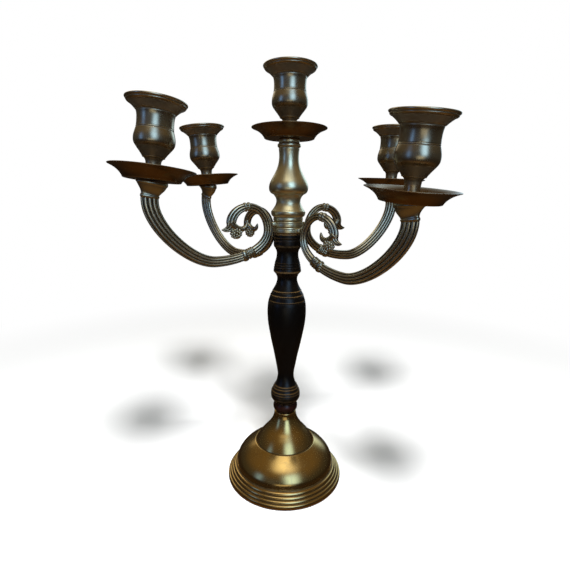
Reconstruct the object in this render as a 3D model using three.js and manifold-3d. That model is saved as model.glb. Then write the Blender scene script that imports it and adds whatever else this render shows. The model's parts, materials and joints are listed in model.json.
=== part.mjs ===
// Five-light brass candelabra: a stepped bell base, a black lacquered column, two double-arm
// units clamped under a turned stem, and five drip pans with candle cups.
// Millimetres, +Z up, origin at the centre of the felt's underside, front towards -Y.

import * as THREE from 'three';
import { mergeVertices } from 'three/addons/utils/BufferGeometryUtils.js';
import Module from 'manifold-3d';

const wasm = await Module();
wasm.setup();

// ---- driving dimensions ----
const GAP = 0.3;                    // clearance between neighbouring pieces

const BASE_RADIUS = 56.6;           // outside of the foot's bottom band
const BASE_BAND_HEIGHT = 4.4;
const BASE_TOP = 68.7;
const BASE_NECK_RADIUS = 10.6;
const BASE_WALL = 2.4;
const BASE_CEILING = 52;            // underside of the solid neck, where the washer bears
const FELT_RADIUS = 54.4;
const FELT_THICKNESS = 1.6;
const RIM_LIFT = 0.4;               // the brass rim stands this far above the table

const ROD_RADIUS = 3;
const ROD_BOTTOM = 42;
const ROD_TOP = 282;
const NUT_ACROSS_FLATS = 10;
const NUT_HEIGHT = 5;
const WASHER_RADIUS = 9;
const WASHER_THICKNESS = 1.6;

const COLLAR_RADIUS = 11.8;
const COLLAR_HEIGHT = 9.2;
const COLUMN_TOP = 243.5;
const RING_RADIUS = 13.4;
const RING_HEIGHT = 4.9;
const STEM_TOP = 323.6;
const STEM_SKIRT_RADIUS = 15;

const ARM_REACH = 115.4;            // column axis to candle axis
const ARM_RISE = 285.2;             // top of a level arm's capital
const ARM_THICKNESS = 5.6;
const ARM_HUB_RADIUS = 16.4;        // where the scroll meets its ring's lug
const CAPITAL_WIDTH = 24;
const CAPITAL_HEIGHT = 9;

const PAN_RADIUS = 32.8;
const PAN_FLAT_RADIUS = 21.8;
const PAN_HEIGHT = 8.7;
const PAN_WALL = 1.3;

const CUP_HEIGHT = 56.6;
const CUP_LIP_RADIUS = 22.9;
const CANDLE_BORE_RADIUS = 11;
const CANDLE_BORE_DEPTH = 34;       // from the lip down to the candle's seat
const STUD_RADIUS = 2;
const STUD_PLAY_IN_ARM = 0.8;       // lets a canted cup's stud stand in the capital
const STUD_IN_ARM = 8;
const STUD_IN_CUP = 9;

const FINE = 28;                    // facets round the base and pans
const MEDIUM = 20;                  // facets round the turned pieces
const COARSE = 12;

// Bearing is the arm's direction in degrees from +X; sag turns the arm down about its ring;
// lean tips its cup outwards and cant tips it about the arm's own direction.
const ARMS = [
  { side: 'front_left', ring: 'upper', bearing: 205.5, sag: 0, lean: -6.2, cant: 0.8 },
  { side: 'back_right', ring: 'upper', bearing: 27.4, sag: 0.4, lean: 0.3, cant: 2.3 },
  { side: 'front_right', ring: 'lower', bearing: 315, sag: 4.6, lean: 6.3, cant: 1.7 },
  { side: 'back_left', ring: 'lower', bearing: 139.3, sag: -3.6, lean: 3.2, cant: -3.4 },
];

const RING_BOTTOM = {
  lower: COLUMN_TOP + GAP,
  upper: COLUMN_TOP + GAP + RING_HEIGHT + GAP,
};
const STEM_BOTTOM = RING_BOTTOM.upper + RING_HEIGHT + GAP;

// ---- materials ----
const finish = (color, roughness, metalness) =>
  new THREE.MeshStandardMaterial({ color, roughness, metalness });

const goldBrass = finish(0xb58a3c, 0.16, 1);
const agedBrass = finish(0x7d6a45, 0.34, 1);
const bronzeBrass = finish(0x5c4526, 0.36, 1);
const blackLacquer = finish(0x0d0d0e, 0.18, 0);
const maroonLacquer = finish(0x2a0d0b, 0.22, 0);
const steel = finish(0x9a9c9e, 0.4, 1);
const greenFelt = finish(0x2c4a35, 0.95, 0);

// ---- solids ----
const radians = THREE.MathUtils.degToRad;

// A closed geometry as a manifold, its faces turned outwards.
function toSolid(geometry) {
  const bare = new THREE.BufferGeometry();
  bare.setAttribute('position', geometry.getAttribute('position').clone());
  if (geometry.index) bare.setIndex(geometry.index.clone());
  const merged = mergeVertices(bare, 1e-4);
  const corners = merged.index.array;
  const kept = [];
  for (let i = 0; i < corners.length; i += 3) {
    const [a, b, c] = corners.slice(i, i + 3);
    if (a !== b && b !== c && c !== a) kept.push(a, b, c);
  }
  const vertProperties = merged.getAttribute('position').array;
  const build = (list) =>
    new wasm.Manifold(new wasm.Mesh({ numProp: 3, vertProperties, triVerts: new Uint32Array(list) }));
  const solid = build(kept);
  return solid.volume() > 0 ? solid : build(kept.reverse());
}

function toGeometry(solid) {
  const mesh = solid.getMesh();
  const geometry = new THREE.BufferGeometry();
  geometry.setAttribute('position', new THREE.BufferAttribute(mesh.vertProperties, 3));
  geometry.setIndex(new THREE.BufferAttribute(mesh.triVerts, 1));
  geometry.computeVertexNormals();
  return geometry;
}

const union = (first, ...rest) => rest.reduce((sum, piece) => sum.add(piece), first);

// A turned piece: the path's x is the radius and its y the height. A path that starts and
// ends on the axis is solid; one that closes on itself has a hole down the middle.
function turned(path, steps, facets) {
  return toSolid(new THREE.LatheGeometry(path.getPoints(steps), facets).rotateX(Math.PI / 2));
}

// An upright cylinder standing on height z.
function post(radius, height, z, facets = COARSE) {
  return toSolid(new THREE.CylinderGeometry(radius, radius, height, facets).rotateX(Math.PI / 2)
    .translate(0, 0, z + height / 2));
}

const point = (pair) => new THREE.Vector2(...pair);

// ---- base ----
function baseShell() {
  const outside = new THREE.Path();
  outside.moveTo(BASE_RADIUS, RIM_LIFT);
  outside.lineTo(BASE_RADIUS, BASE_BAND_HEIGHT - 1);
  outside.quadraticCurveTo(BASE_RADIUS, BASE_BAND_HEIGHT, BASE_RADIUS - 1.6, BASE_BAND_HEIGHT + 0.4);
  const beads = [[54, 7], [51.8, 9.8], [49.9, 12.6]];
  for (const [radius, z] of beads) {
    outside.lineTo(radius + 0.4, z - 1.9);
    outside.quadraticCurveTo(radius + 1.8, z - 0.2, radius - 0.6, z + 0.9);
  }
  outside.lineTo(47.8, 14.6);
  outside.splineThru([[47.2, 18.6], [44.2, 24.6], [37.8, 30.8], [28.9, 37.2]].map(point));
  outside.lineTo(28.3, 37.2);
  outside.splineThru([[23.2, 45], [17.2, 52], [13, 58], [BASE_NECK_RADIUS, 65]].map(point));
  outside.lineTo(BASE_NECK_RADIUS, BASE_TOP);
  outside.lineTo(ROD_RADIUS + GAP, BASE_TOP);
  outside.lineTo(ROD_RADIUS + GAP, BASE_CEILING);
  outside.lineTo(11, BASE_CEILING);
  outside.splineThru([[19, 43.2], [35.6, 28.6], [42.6, 21.2], [45.2, 14]].map(point));
  outside.lineTo(FELT_RADIUS - 3, 5);
  outside.lineTo(FELT_RADIUS + GAP, FELT_THICKNESS + GAP);
  outside.lineTo(FELT_RADIUS + GAP, RIM_LIFT);
  outside.closePath();
  return turned(outside, 1, FINE);
}

const baseFelt = () => post(FELT_RADIUS, FELT_THICKNESS, 0, FINE);

// ---- tie rod ----
const tieRod = () => post(ROD_RADIUS, ROD_TOP - ROD_BOTTOM, ROD_BOTTOM);

function rodWasher() {
  const z = BASE_CEILING - GAP - WASHER_THICKNESS;
  return post(WASHER_RADIUS, WASHER_THICKNESS, z)
    .subtract(post(ROD_RADIUS + GAP, WASHER_THICKNESS + 2, z - 1));
}

function rodNut() {
  const z = BASE_CEILING - 2 * GAP - WASHER_THICKNESS - NUT_HEIGHT;
  const cornerRadius = NUT_ACROSS_FLATS / 2 / Math.cos(Math.PI / 6);
  return post(cornerRadius, NUT_HEIGHT, z, 6).subtract(post(ROD_RADIUS + GAP, NUT_HEIGHT + 2, z - 1));
}

// ---- column ----
const rodHole = (bottom, top) => post(ROD_RADIUS + GAP, top - bottom, bottom);

function columnCollar() {
  const bottom = BASE_TOP + GAP;
  const top = bottom + COLLAR_HEIGHT;
  const path = new THREE.Path();
  path.moveTo(0, bottom);
  path.lineTo(BASE_NECK_RADIUS, bottom);
  path.splineThru([[COLLAR_RADIUS - 0.5, bottom + 2.2], [COLLAR_RADIUS, bottom + 4.6],
    [COLLAR_RADIUS - 0.7, bottom + 7.4], [COLLAR_RADIUS - 1.2, top]].map(point));
  path.lineTo(0, top);
  return turned(path, 1, MEDIUM).subtract(rodHole(bottom - 1, top + 1));
}

function column() {
  const bottom = BASE_TOP + COLLAR_HEIGHT + 2 * GAP;
  const path = new THREE.Path();
  path.moveTo(0, bottom);
  path.lineTo(10.8, bottom);
  path.lineTo(11.9, 80.4);
  path.splineThru([[14, 83.6], [14.3, 86.8], [13.6, 90.4]].map(point));
  path.lineTo(11.8, 92.8);
  path.splineThru([[9.2, 99], [7.8, 106.5], [8.3, 112]].map(point));
  path.splineThru([[11, 126.5], [14.5, 142.8], [16.8, 155], [18.1, 170], [17.4, 181],
    [15.3, 187.6]].map(point));
  path.splineThru([[11.7, 193.6], [9.2, 200.4], [10, 205]].map(point));
  path.lineTo(12.7, 208.6);
  path.lineTo(12.7, 212.8);
  path.lineTo(11.9, 213.6);
  path.splineThru([[11.7, 216.4], [10, 221], [9.9, 227.2]].map(point));
  path.splineThru([[12.7, 231.6], [12.9, 236.5], [12.2, 238.6]].map(point));
  path.lineTo(12.8, COLUMN_TOP);
  path.lineTo(0, COLUMN_TOP);
  return turned(path, 1, MEDIUM).subtract(rodHole(bottom - 1, COLUMN_TOP + 1));
}

// ---- arm rings: a clamped washer with a lug towards each of its two arms ----
function armRing(level) {
  const bottom = RING_BOTTOM[level];
  const reach = ARM_HUB_RADIUS - GAP;
  let ring = post(RING_RADIUS, RING_HEIGHT, bottom, MEDIUM);
  for (const arm of ARMS.filter((each) => each.ring === level)) {
    const lug = new THREE.BoxGeometry(reach - 8, ARM_THICKNESS, RING_HEIGHT - 1);
    lug.translate((reach + 8) / 2, 0, bottom + RING_HEIGHT / 2).rotateZ(radians(arm.bearing));
    ring = ring.add(toSolid(lug));
  }
  return ring.subtract(rodHole(bottom - 1, bottom + RING_HEIGHT + 1));
}

// ---- upper stem ----
function upperStem() {
  const path = new THREE.Path();
  path.moveTo(0, STEM_BOTTOM);
  path.lineTo(12.8, STEM_BOTTOM);
  path.lineTo(13.1, 256.8);
  path.lineTo(12.2, 257.6);
  path.lineTo(13.3, 258.6);
  path.lineTo(13.3, 261);
  path.lineTo(STEM_SKIRT_RADIUS, 262);
  path.lineTo(STEM_SKIRT_RADIUS - 0.4, 263);
  path.splineThru([[12.2, 266.8], [10.6, 271.4], [11.7, 275.4]].map(point));
  path.lineTo(13.6, 277.2);
  path.splineThru([[16.6, 279.6], [17.3, 282], [16.5, 287]].map(point));
  path.splineThru([[12.7, 294.6], [9.9, 301.6], [8.7, 306], [8.7, 315.6]].map(point));
  path.lineTo(10, 317.2);
  path.lineTo(10, 319.8);
  path.lineTo(9.1, 321);
  path.lineTo(9.1, STEM_TOP);
  path.lineTo(0, STEM_TOP);
  return turned(path, 1, MEDIUM)
    .subtract(rodHole(STEM_BOTTOM - 1, ROD_TOP + 2))
    .subtract(post(STUD_RADIUS + GAP, STUD_IN_ARM + 2, STEM_TOP - STUD_IN_ARM - 1));
}

// ---- arms: flat scroll castings, drawn in the plane of radius and height ----
// The centre line, from the leaf's tip round the scroll and under to the capital. It is drawn
// for an arm with its ring at the upper level.
function armCentreLine(lean) {
  const line = new THREE.CurvePath();
  const capitalFoot = new THREE.Vector2(118, 270);
  const capitalTop = new THREE.Vector2(ARM_REACH, ARM_RISE);
  const leanDirection = new THREE.Vector2(Math.sin(radians(lean)), Math.cos(radians(lean)));
  line.add(new THREE.QuadraticBezierCurve(point([61.5, 247.2]), point([54.4, 246.5]),
    point([53.2, 252])));
  line.add(new THREE.EllipseCurve(36.5, 252, 16.7, 14.5, 0, Math.PI / 2));
  line.add(new THREE.EllipseCurve(36.5, 246, 16.6, 20.5, Math.PI / 2, Math.PI));
  line.add(new THREE.EllipseCurve(67, 246, 47.1, 25.5, Math.PI, Math.PI * 1.5));
  line.add(new THREE.CubicBezierCurve(point([67, 220.5]), point([88, 220.5]), point([117.8, 250]),
    capitalFoot));
  line.add(new THREE.CubicBezierCurve(capitalFoot, point([118.4, 275]),
    capitalTop.clone().addScaledVector(leanDirection, -6), capitalTop));
  return line;
}

// The strap's width at the ends of the centre line's curves.
const STRAP_WIDTHS = [2.6, 8.6, 6.2, 6.6, 9, 13.2, 14];
const STRAP_STEPS = [2, 4, 4, 5, 5, 2];

// The strap's two edges, a half width to either side of the centre line.
function strapOutline(line) {
  const left = [];
  const right = [];
  line.curves.forEach((curve, leg) => {
    const last = leg === line.curves.length - 1;
    for (let step = 0; step < STRAP_STEPS[leg] + (last ? 1 : 0); step += 1) {
      const along = step / STRAP_STEPS[leg];
      const ease = along * along * (3 - 2 * along);
      const width = THREE.MathUtils.lerp(STRAP_WIDTHS[leg], STRAP_WIDTHS[leg + 1], ease);
      const centre = curve.getPoint(along);
      const ahead = curve.getTangent(along);
      const normal = new THREE.Vector2(-ahead.y, ahead.x);
      left.push(centre.clone().addScaledVector(normal, width / 2));
      right.push(centre.clone().addScaledVector(normal, -width / 2));
    }
  });
  return new THREE.Shape([...left, ...right.reverse()]);
}

// A flat plate standing in the plane of radius (x) and height (z), bevelled on both faces.
function plate(shape, thickness, bevel) {
  const flat = new THREE.ExtrudeGeometry(shape, {
    depth: thickness - 2 * bevel,
    curveSegments: 5,
    bevelThickness: bevel,
    bevelSize: bevel,
    bevelOffset: -bevel,
    bevelSegments: 1,
  });
  return toSolid(flat.translate(0, 0, bevel - thickness / 2).rotateX(Math.PI / 2));
}

// The small hook that curls back from under the leaf.
function voluteHook() {
  const shape = new THREE.Shape();
  shape.moveTo(52, 250.5);
  shape.quadraticCurveTo(46, 243.5, 40, 246.5);
  shape.quadraticCurveTo(35, 249, 35.8, 254.4);
  shape.lineTo(38.6, 254);
  shape.quadraticCurveTo(38.4, 250.5, 41.4, 249.8);
  shape.quadraticCurveTo(45.4, 249.4, 48.6, 255.6);
  return plate(shape, ARM_THICKNESS - 1.6, 0.4);
}

// The cluster of berries that hangs under the leaf.
function berries() {
  const places = [[51.4, 243.6], [47.4, 242.2], [49.8, 240.6], [53, 246.8]];
  const clusters = places.map(([radius, z]) =>
    toSolid(new THREE.SphereGeometry(3.1, 6, 4).translate(radius, 0, z)));
  return union(...clusters);
}

// A sleeve round the strap at a place on the centre line.
function band(line, leg, along, width, length) {
  const centre = line.curves[leg].getPoint(along);
  const ahead = line.curves[leg].getTangent(along);
  const sleeve = new THREE.BoxGeometry(length, ARM_THICKNESS + 1.4, width);
  sleeve.rotateY(-Math.atan2(ahead.y, ahead.x)).translate(centre.x, 0, centre.y);
  return toSolid(sleeve);
}

// The oval trumpet that carries the pan, standing on the arm's end.
function capital(lean) {
  const half = CAPITAL_WIDTH / 2;
  const path = new THREE.Path();
  path.moveTo(0, -CAPITAL_HEIGHT);
  path.lineTo(6.6, -CAPITAL_HEIGHT);
  path.splineThru([[7.6, -5.6], [half - 0.8, -2.4]].map(point));
  path.lineTo(half, -1.6);
  path.lineTo(half - 0.4, 0);
  path.lineTo(0, 0);
  return turned(path, 1, COARSE).scale([1, 0.6, 1]).rotate([0, lean, 0])
    .translate([ARM_REACH, 0, ARM_RISE]);
}

// Moves a piece drawn on a level upper arm to where this arm really holds it.
function hang(piece, arm) {
  const pivotZ = RING_BOTTOM.upper + RING_HEIGHT / 2;
  const drop = RING_BOTTOM[arm.ring] - RING_BOTTOM.upper;
  return piece.translate([-ARM_HUB_RADIUS, 0, -pivotZ]).rotate([0, arm.sag, 0])
    .translate([ARM_HUB_RADIUS, 0, pivotZ + drop]);
}

function scrollArm(arm) {
  const lean = arm.lean - arm.sag;
  const line = armCentreLine(lean);
  const studHole = post(STUD_RADIUS + STUD_PLAY_IN_ARM, STUD_IN_ARM + 2, -STUD_IN_ARM - 1)
    .rotate([0, lean, 0]).translate([ARM_REACH, 0, ARM_RISE]);
  const casting = union(
    plate(strapOutline(line), ARM_THICKNESS, 0.9),
    voluteHook(),
    berries(),
    band(line, 3, 0.5, 10, 6.4),
    band(line, 1, 0.92, 7.6, 3),
    capital(lean),
  ).subtract(studHole);
  return hang(casting, arm).rotate([0, 0, arm.bearing]);
}

// ---- drip pan, candle cup and stud, drawn with the pan's underside at z = 0 ----
function dripPan() {
  const path = new THREE.Path();
  path.moveTo(STUD_RADIUS + GAP, 0);
  path.lineTo(PAN_FLAT_RADIUS, 0);
  path.quadraticCurveTo(24.4, 5.8, PAN_RADIUS, PAN_HEIGHT);
  path.lineTo(PAN_RADIUS - 0.3, PAN_HEIGHT + 0.6);
  path.quadraticCurveTo(23.6, 6.8, PAN_FLAT_RADIUS - 1.2, PAN_WALL);
  path.lineTo(STUD_RADIUS + GAP, PAN_WALL);
  path.closePath();
  return turned(path, 2, FINE);
}

const CUP_FOOT = PAN_WALL + GAP;

function candleCup() {
  const top = CUP_FOOT + CUP_HEIGHT;
  const seat = top - CANDLE_BORE_DEPTH;
  const path = new THREE.Path();
  path.moveTo(0, CUP_FOOT);
  path.lineTo(7, CUP_FOOT);
  path.splineThru([[5.9, CUP_FOOT + 5], [6.4, CUP_FOOT + 11], [9.6, CUP_FOOT + 16.6]].map(point));
  path.splineThru([[13.6, CUP_FOOT + 21.2], [16.1, CUP_FOOT + 29], [14.4, CUP_FOOT + 38]].map(point));
  path.splineThru([[14.4, CUP_FOOT + 43.6], [16.4, CUP_FOOT + 49.2], [22, CUP_FOOT + 53.2]].map(point));
  path.lineTo(CUP_LIP_RADIUS, top - 1.6);
  path.lineTo(CUP_LIP_RADIUS - 0.6, top - 0.2);
  path.lineTo(CUP_LIP_RADIUS - 2.4, top);
  path.splineThru([[15.4, top - 4.6], [12, top - 9.5], [CANDLE_BORE_RADIUS, top - 14]].map(point));
  path.lineTo(CANDLE_BORE_RADIUS, seat);
  path.lineTo(0, seat);
  return turned(path, 1, MEDIUM)
    .subtract(post(STUD_RADIUS + GAP, STUD_IN_CUP + 2, CUP_FOOT - 1, 8));
}

function cupStud() {
  return post(STUD_RADIUS, STUD_IN_ARM + CUP_FOOT + STUD_IN_CUP, -STUD_IN_ARM, 8);
}

// ---- assembly ----
const candelabra = new THREE.Group();

function addPiece(parent, name, solid, material) {
  const mesh = new THREE.Mesh(toGeometry(solid), material);
  mesh.name = name;
  parent.add(mesh);
}

addPiece(candelabra, 'base_shell', baseShell(), goldBrass);
addPiece(candelabra, 'base_felt', baseFelt(), greenFelt);
addPiece(candelabra, 'tie_rod', tieRod(), steel);
addPiece(candelabra, 'rod_washer', rodWasher(), steel);
addPiece(candelabra, 'rod_nut', rodNut(), steel);
addPiece(candelabra, 'column_collar', columnCollar(), maroonLacquer);
addPiece(candelabra, 'column', column(), blackLacquer);
addPiece(candelabra, 'lower_arm_ring', armRing('lower'), agedBrass);
addPiece(candelabra, 'upper_arm_ring', armRing('upper'), agedBrass);
addPiece(candelabra, 'upper_stem', upperStem(), agedBrass);

// A candle place: its pan, cup and stud share one axis, set in a group of their own.
function addCandlePlace(name, group) {
  addPiece(group, `${name}_drip_pan`, dripPan(), bronzeBrass);
  addPiece(group, `${name}_candle_cup`, candleCup(), agedBrass);
  addPiece(group, `${name}_cup_stud`, cupStud(), steel);
  candelabra.add(group);
}

const centre = new THREE.Group();
centre.position.z = STEM_TOP + GAP;
addCandlePlace('centre', centre);

const upwards = new THREE.Vector3(0, 0, 1);
const capitalRise = ARM_RISE - RING_BOTTOM.upper - RING_HEIGHT / 2;   // above its own ring
for (const arm of ARMS) {
  addPiece(candelabra, `${arm.side}_arm`, scrollArm(arm), agedBrass);

  const outwards = new THREE.Vector3(1, 0, 0).applyAxisAngle(upwards, radians(arm.bearing));
  const sideways = upwards.clone().cross(outwards);
  const capital = new THREE.Vector2(ARM_REACH - ARM_HUB_RADIUS, capitalRise);
  capital.rotateAround(new THREE.Vector2(), -radians(arm.sag));
  const place = new THREE.Group();
  place.position.copy(outwards).multiplyScalar(ARM_HUB_RADIUS + capital.x);
  place.position.z = RING_BOTTOM[arm.ring] + RING_HEIGHT / 2 + capital.y;
  place.quaternion.setFromAxisAngle(sideways, radians(arm.lean));
  place.quaternion.multiply(new THREE.Quaternion().setFromAxisAngle(outwards, radians(arm.cant)));
  place.translateZ(2 * GAP);
  addCandlePlace(arm.side, place);
}

export default candelabra;
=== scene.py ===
"""Five-light candelabra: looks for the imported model. Metres, +Z up; outlines in millimetres."""

import json
import math

import bpy
import numpy as np
from mathutils import Matrix, Vector


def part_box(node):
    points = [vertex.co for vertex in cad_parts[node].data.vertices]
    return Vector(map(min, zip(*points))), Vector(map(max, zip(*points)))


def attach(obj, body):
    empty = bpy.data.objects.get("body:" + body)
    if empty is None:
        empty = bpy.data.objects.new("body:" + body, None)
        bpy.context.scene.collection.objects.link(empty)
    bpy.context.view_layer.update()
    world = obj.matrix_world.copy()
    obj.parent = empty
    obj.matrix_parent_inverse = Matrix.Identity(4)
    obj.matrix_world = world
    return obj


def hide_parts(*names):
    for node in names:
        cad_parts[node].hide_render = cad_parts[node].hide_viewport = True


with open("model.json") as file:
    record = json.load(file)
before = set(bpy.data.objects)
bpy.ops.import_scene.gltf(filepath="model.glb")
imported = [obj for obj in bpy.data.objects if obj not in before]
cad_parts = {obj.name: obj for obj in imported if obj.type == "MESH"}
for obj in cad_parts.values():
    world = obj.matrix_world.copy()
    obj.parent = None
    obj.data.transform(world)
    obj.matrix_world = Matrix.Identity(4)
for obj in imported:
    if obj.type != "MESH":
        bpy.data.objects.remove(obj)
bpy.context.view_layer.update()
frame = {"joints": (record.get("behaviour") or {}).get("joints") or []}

MM = 0.001
TURN = 2 * math.pi
ROD_HOLE = 3.3
STUD_HOLE = 2.3
JOINTS = {joint["name"]: joint for joint in frame["joints"]}


# ---- camera

CAMERA_DISTANCE = 0.367
CAMERA_HEIGHT = 0.2744
CAMERA_PITCH = math.radians(12.19)
CAMERA_YAW = math.radians(-0.30)
CAMERA_ROLL = math.radians(-0.82)
CAMERA_LENS = 25.5
SENSOR = 36.0


def make_camera():
    """A camera in front of the column, a little above the arms' hub, looking down at the foot."""
    forward = Vector((math.sin(CAMERA_YAW) * math.cos(CAMERA_PITCH),
                      math.cos(CAMERA_YAW) * math.cos(CAMERA_PITCH),
                      -math.sin(CAMERA_PITCH)))
    level = Vector((math.cos(CAMERA_YAW), -math.sin(CAMERA_YAW), 0))
    down = forward.cross(level)
    right = math.cos(CAMERA_ROLL) * level + math.sin(CAMERA_ROLL) * down
    up = right.cross(forward)
    data = bpy.data.cameras.new("camera")
    data.lens = CAMERA_LENS
    data.sensor_width = SENSOR
    data.clip_start = 0.01
    data.clip_end = 50
    camera = bpy.data.objects.new("camera", data)
    place = Matrix((right, up, -forward)).transposed().to_4x4()
    place.translation = (0, -CAMERA_DISTANCE, CAMERA_HEIGHT)
    camera.matrix_world = place
    bpy.context.scene.collection.objects.link(camera)
    bpy.context.scene.camera = camera


# ---- curves and outlines

def curve(points, steps=12):
    """Catmull-Rom curve: each span is the cubic through its two ends whose slope at an end is
    half the chord between that end's neighbours. End spans use the end point twice."""
    p = np.array(points, float)
    p = np.vstack([p[:1], p, p[-1:]])
    t = np.linspace(0, 1, steps, endpoint=False)[None, :, None]
    a, b, c, d = (p[i:len(p) - 3 + i, None, :] for i in range(4))
    spans = b + 0.5 * t * (c - a) + t**2 * (a - 2.5 * b + 2 * c - 0.5 * d) \
        + t**3 * (1.5 * (b - c) + 0.5 * (d - a))
    return np.vstack([spans.reshape(-1, p.shape[1]), p[-1]])


def bow(start, handle, end, steps=16):
    """Quadratic Bezier curve from start to end, pulled towards the handle."""
    t = np.linspace(0, 1, steps)[:, None]
    start, handle, end = (np.array(q, float) for q in (start, handle, end))
    return (1 - t)**2 * start + 2 * t * (1 - t) * handle + t**2 * end


def bead(start, end, swell, steps=14):
    """Circular-looking bead from start to end: the chord plus a half sine of height swell on
    its right-hand side."""
    t = np.linspace(0, 1, steps)[:, None]
    start, end = np.array(start, float), np.array(end, float)
    along = end - start
    side = np.array([along[1], -along[0]]) / np.hypot(*along)
    return start + t * along + np.sqrt(np.clip(4 * t * (1 - t), 0, 1)) * swell * side


def spaced(points, step):
    """The same line with its points laid out again at equal steps."""
    gaps = np.hypot(*np.diff(points, axis=0).T)
    keep = np.r_[True, gaps > 1e-6]
    points = points[keep]
    length = np.r_[0, np.cumsum(np.hypot(*np.diff(points, axis=0).T))]
    count = max(8, int(round(length[-1] / step)))
    at = np.linspace(0, length[-1], count + 1)
    return np.stack([np.interp(at, length, points[:, k]) for k in range(2)], axis=1)


def blurred(values, width):
    """Running bell-shaped average over the first axis; the ends keep their values."""
    reach = max(1, int(3 * width))
    kernel = np.exp(-0.5 * (np.arange(-reach, reach + 1) / max(width, 1e-6))**2)
    kernel /= kernel.sum()
    head = 2 * values[0] - values[reach:0:-1]
    tail = 2 * values[-1] - values[-2:-reach - 2:-1]
    padded = np.concatenate([head, values, tail])
    return np.stack([np.convolve(column, kernel, "valid") for column in padded.T], axis=1)


def outline(*runs, step=0.3, soften=0.3):
    """Joins runs of (radius, height) points into one profile with evenly spaced points, and
    rounds its corners by a running average about soften millimetres wide."""
    points = spaced(np.vstack([np.atleast_2d(np.array(run, float)) for run in runs]), step)
    return blurred(points, soften / step)


def relief_of(profile, width):
    """How much each point stands proud: the profile's turning per millimetre, blurred, which is
    positive on edges and beads and negative in grooves, squeezed to -1..1."""
    ahead = np.gradient(profile, axis=0)
    angle = np.unwrap(np.arctan2(ahead[:, 1], ahead[:, 0]))
    step = np.hypot(*ahead.T)
    turning = blurred((np.gradient(angle) / step)[:, None], width)[:, 0]
    return np.tanh(2.2 * turning)


# ---- meshes

def grid_faces(rows, columns, wrap_rows):
    """Corner indices of the quads of a grid whose vertex (i, j) has index i * columns + j and
    whose columns wrap round."""
    i = np.arange(rows if wrap_rows else rows - 1)[:, None]
    j = np.arange(columns)[None, :]
    i2, j2 = (i + 1) % rows, (j + 1) % columns
    return np.stack([i * columns + j, i * columns + j2, i2 * columns + j2, i2 * columns + j],
                    axis=-1).reshape(-1, 4)


class Shell:
    """Vertices, faces and per-vertex values of one piece, gathered from several closed shells."""

    def __init__(self):
        self.points, self.values, self.quads, self.triangles = [], [], [], []
        self.count = 0

    def add(self, grid, relief, along, wrap_rows=False):
        """Adds a closed shell: grid[i, j] is a point in millimetres, columns wrap round, and the
        open ends are closed with a fan about the end row's mean point."""
        rows, columns = grid.shape[:2]
        quads = grid_faces(rows, columns, wrap_rows)
        relief = np.broadcast_to(relief, (rows, columns)).reshape(-1)
        along = np.broadcast_to(along, (rows, columns)).reshape(-1)
        points = grid.reshape(-1, 3)
        triangles = np.zeros((0, 3), int)
        if not wrap_rows:
            ends = np.array([grid[0].mean(0), grid[-1].mean(0)])
            j = np.arange(columns)
            j2 = (j + 1) % columns
            first, last = len(points), len(points) + 1
            low = np.stack([np.full(columns, first), j2, j], axis=1)
            high = np.stack([np.full(columns, last), j + (rows - 1) * columns,
                             j2 + (rows - 1) * columns], axis=1)
            triangles = np.vstack([low, high])
            points = np.vstack([points, ends])
            relief = np.r_[relief, relief[0], relief[-1]]
            along = np.r_[along, along[0], along[-1]]
        if volume(points, quads, triangles) < 0:
            quads, triangles = quads[:, ::-1], triangles[:, ::-1]
        self.quads.append(quads + self.count)
        self.triangles.append(triangles + self.count)
        self.points.append(points)
        self.values.append(np.stack([relief, along], axis=1))
        self.count += len(points)
        return self

    def placed(self, name, place, material, slot, body, nodes):
        """Makes the Blender object: moves the points by the 4x4 matrix place (millimetres), and
        writes metres, the faces and the two attributes that the materials read."""
        points = np.vstack(self.points)
        points = (points @ place[:3, :3].T + place[:3, 3]) * MM
        quads, triangles = np.vstack(self.quads), np.vstack(self.triangles)
        corners = np.concatenate([quads.reshape(-1), triangles.reshape(-1)]).astype(np.int32)
        sizes = np.r_[np.full(len(quads), 4), np.full(len(triangles), 3)]
        starts = np.r_[0, np.cumsum(sizes)[:-1]].astype(np.int32)
        mesh = bpy.data.meshes.new(name)
        mesh.vertices.add(len(points))
        mesh.vertices.foreach_set("co", points.astype(np.float32).reshape(-1))
        mesh.loops.add(len(corners))
        mesh.loops.foreach_set("vertex_index", corners)
        mesh.polygons.add(len(sizes))
        mesh.polygons.foreach_set("loop_start", starts)
        mesh.polygons.foreach_set("use_smooth", np.ones(len(sizes), bool))
        for key, values in zip(("relief", "along"), np.vstack(self.values).T):
            attribute = mesh.attributes.new(key, "FLOAT", "POINT")
            attribute.data.foreach_set("value", values.astype(np.float32))
        mesh.update(calc_edges=True)
        mesh.validate()
        mesh.materials.append(material)
        piece = bpy.data.objects.new(name, mesh)
        bpy.context.scene.collection.objects.link(piece)
        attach(piece, body)
        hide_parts(*nodes)
        return piece


def volume(points, quads, triangles):
    """Six times the signed volume inside the faces, a sum of triple products."""
    fans = np.vstack([quads[:, [0, 1, 2]], quads[:, [0, 2, 3]], triangles])
    a, b, c = (points[fans[:, k]] for k in range(3))
    return np.einsum("ij,ij->", a, np.cross(b, c))


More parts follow.
